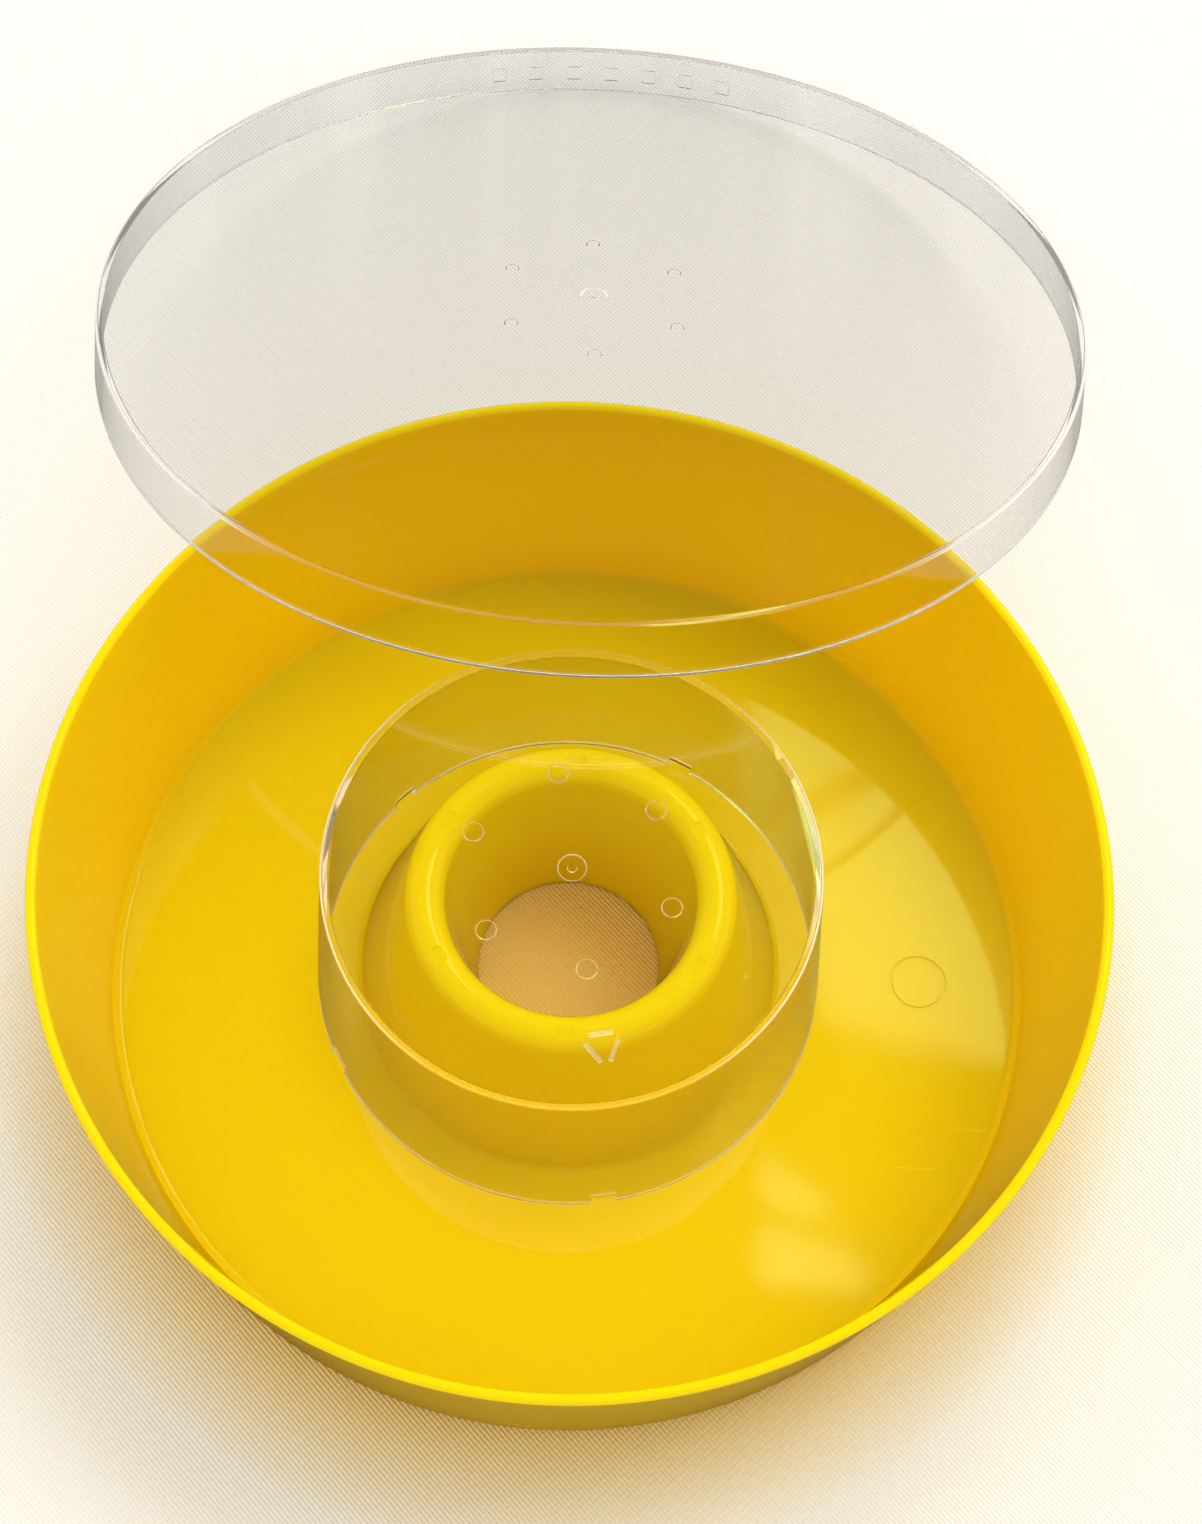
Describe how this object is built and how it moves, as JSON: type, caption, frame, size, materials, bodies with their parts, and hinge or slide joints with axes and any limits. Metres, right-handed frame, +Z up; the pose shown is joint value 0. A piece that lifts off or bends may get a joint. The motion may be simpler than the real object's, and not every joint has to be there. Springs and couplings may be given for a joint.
{
  "type": "wasp trap",
  "caption": "Round yellow wasp trap tray with a hollow entry cone, a clear cap over the cone and a clear shallow lid leaning on the rim.",
  "frame": {"origin": "centre of the tray's underside, on the axis of the tray and its entry cone", "axes": "+Z up along the tray's axis, +Y towards the side that the lid leans away to, +X to the right of that"},
  "size_m": [0.21, 0.3316, 0.0789],
  "materials": {
    "yellow_plastic": "glossy",
    "clear_plastic": "clear, polished"
  },
  "bodies": {
    "tray": {"tray": "yellow_plastic"},
    "entry_cap": {"entry_cap": "clear_plastic"},
    "lid": {"lid": "clear_plastic"}
  },
  "joints": [
    {"name": "cap_lift", "type": "slide", "parent": "tray", "child": "entry_cap", "axis": [0, 0, 1], "range_m": [0, 0.08]},
    {"name": "lid_lift", "type": "slide", "parent": "entry_cap", "child": "lid", "axis": [0, 0, 1], "range_m": [0, 0.12]}
  ]
}
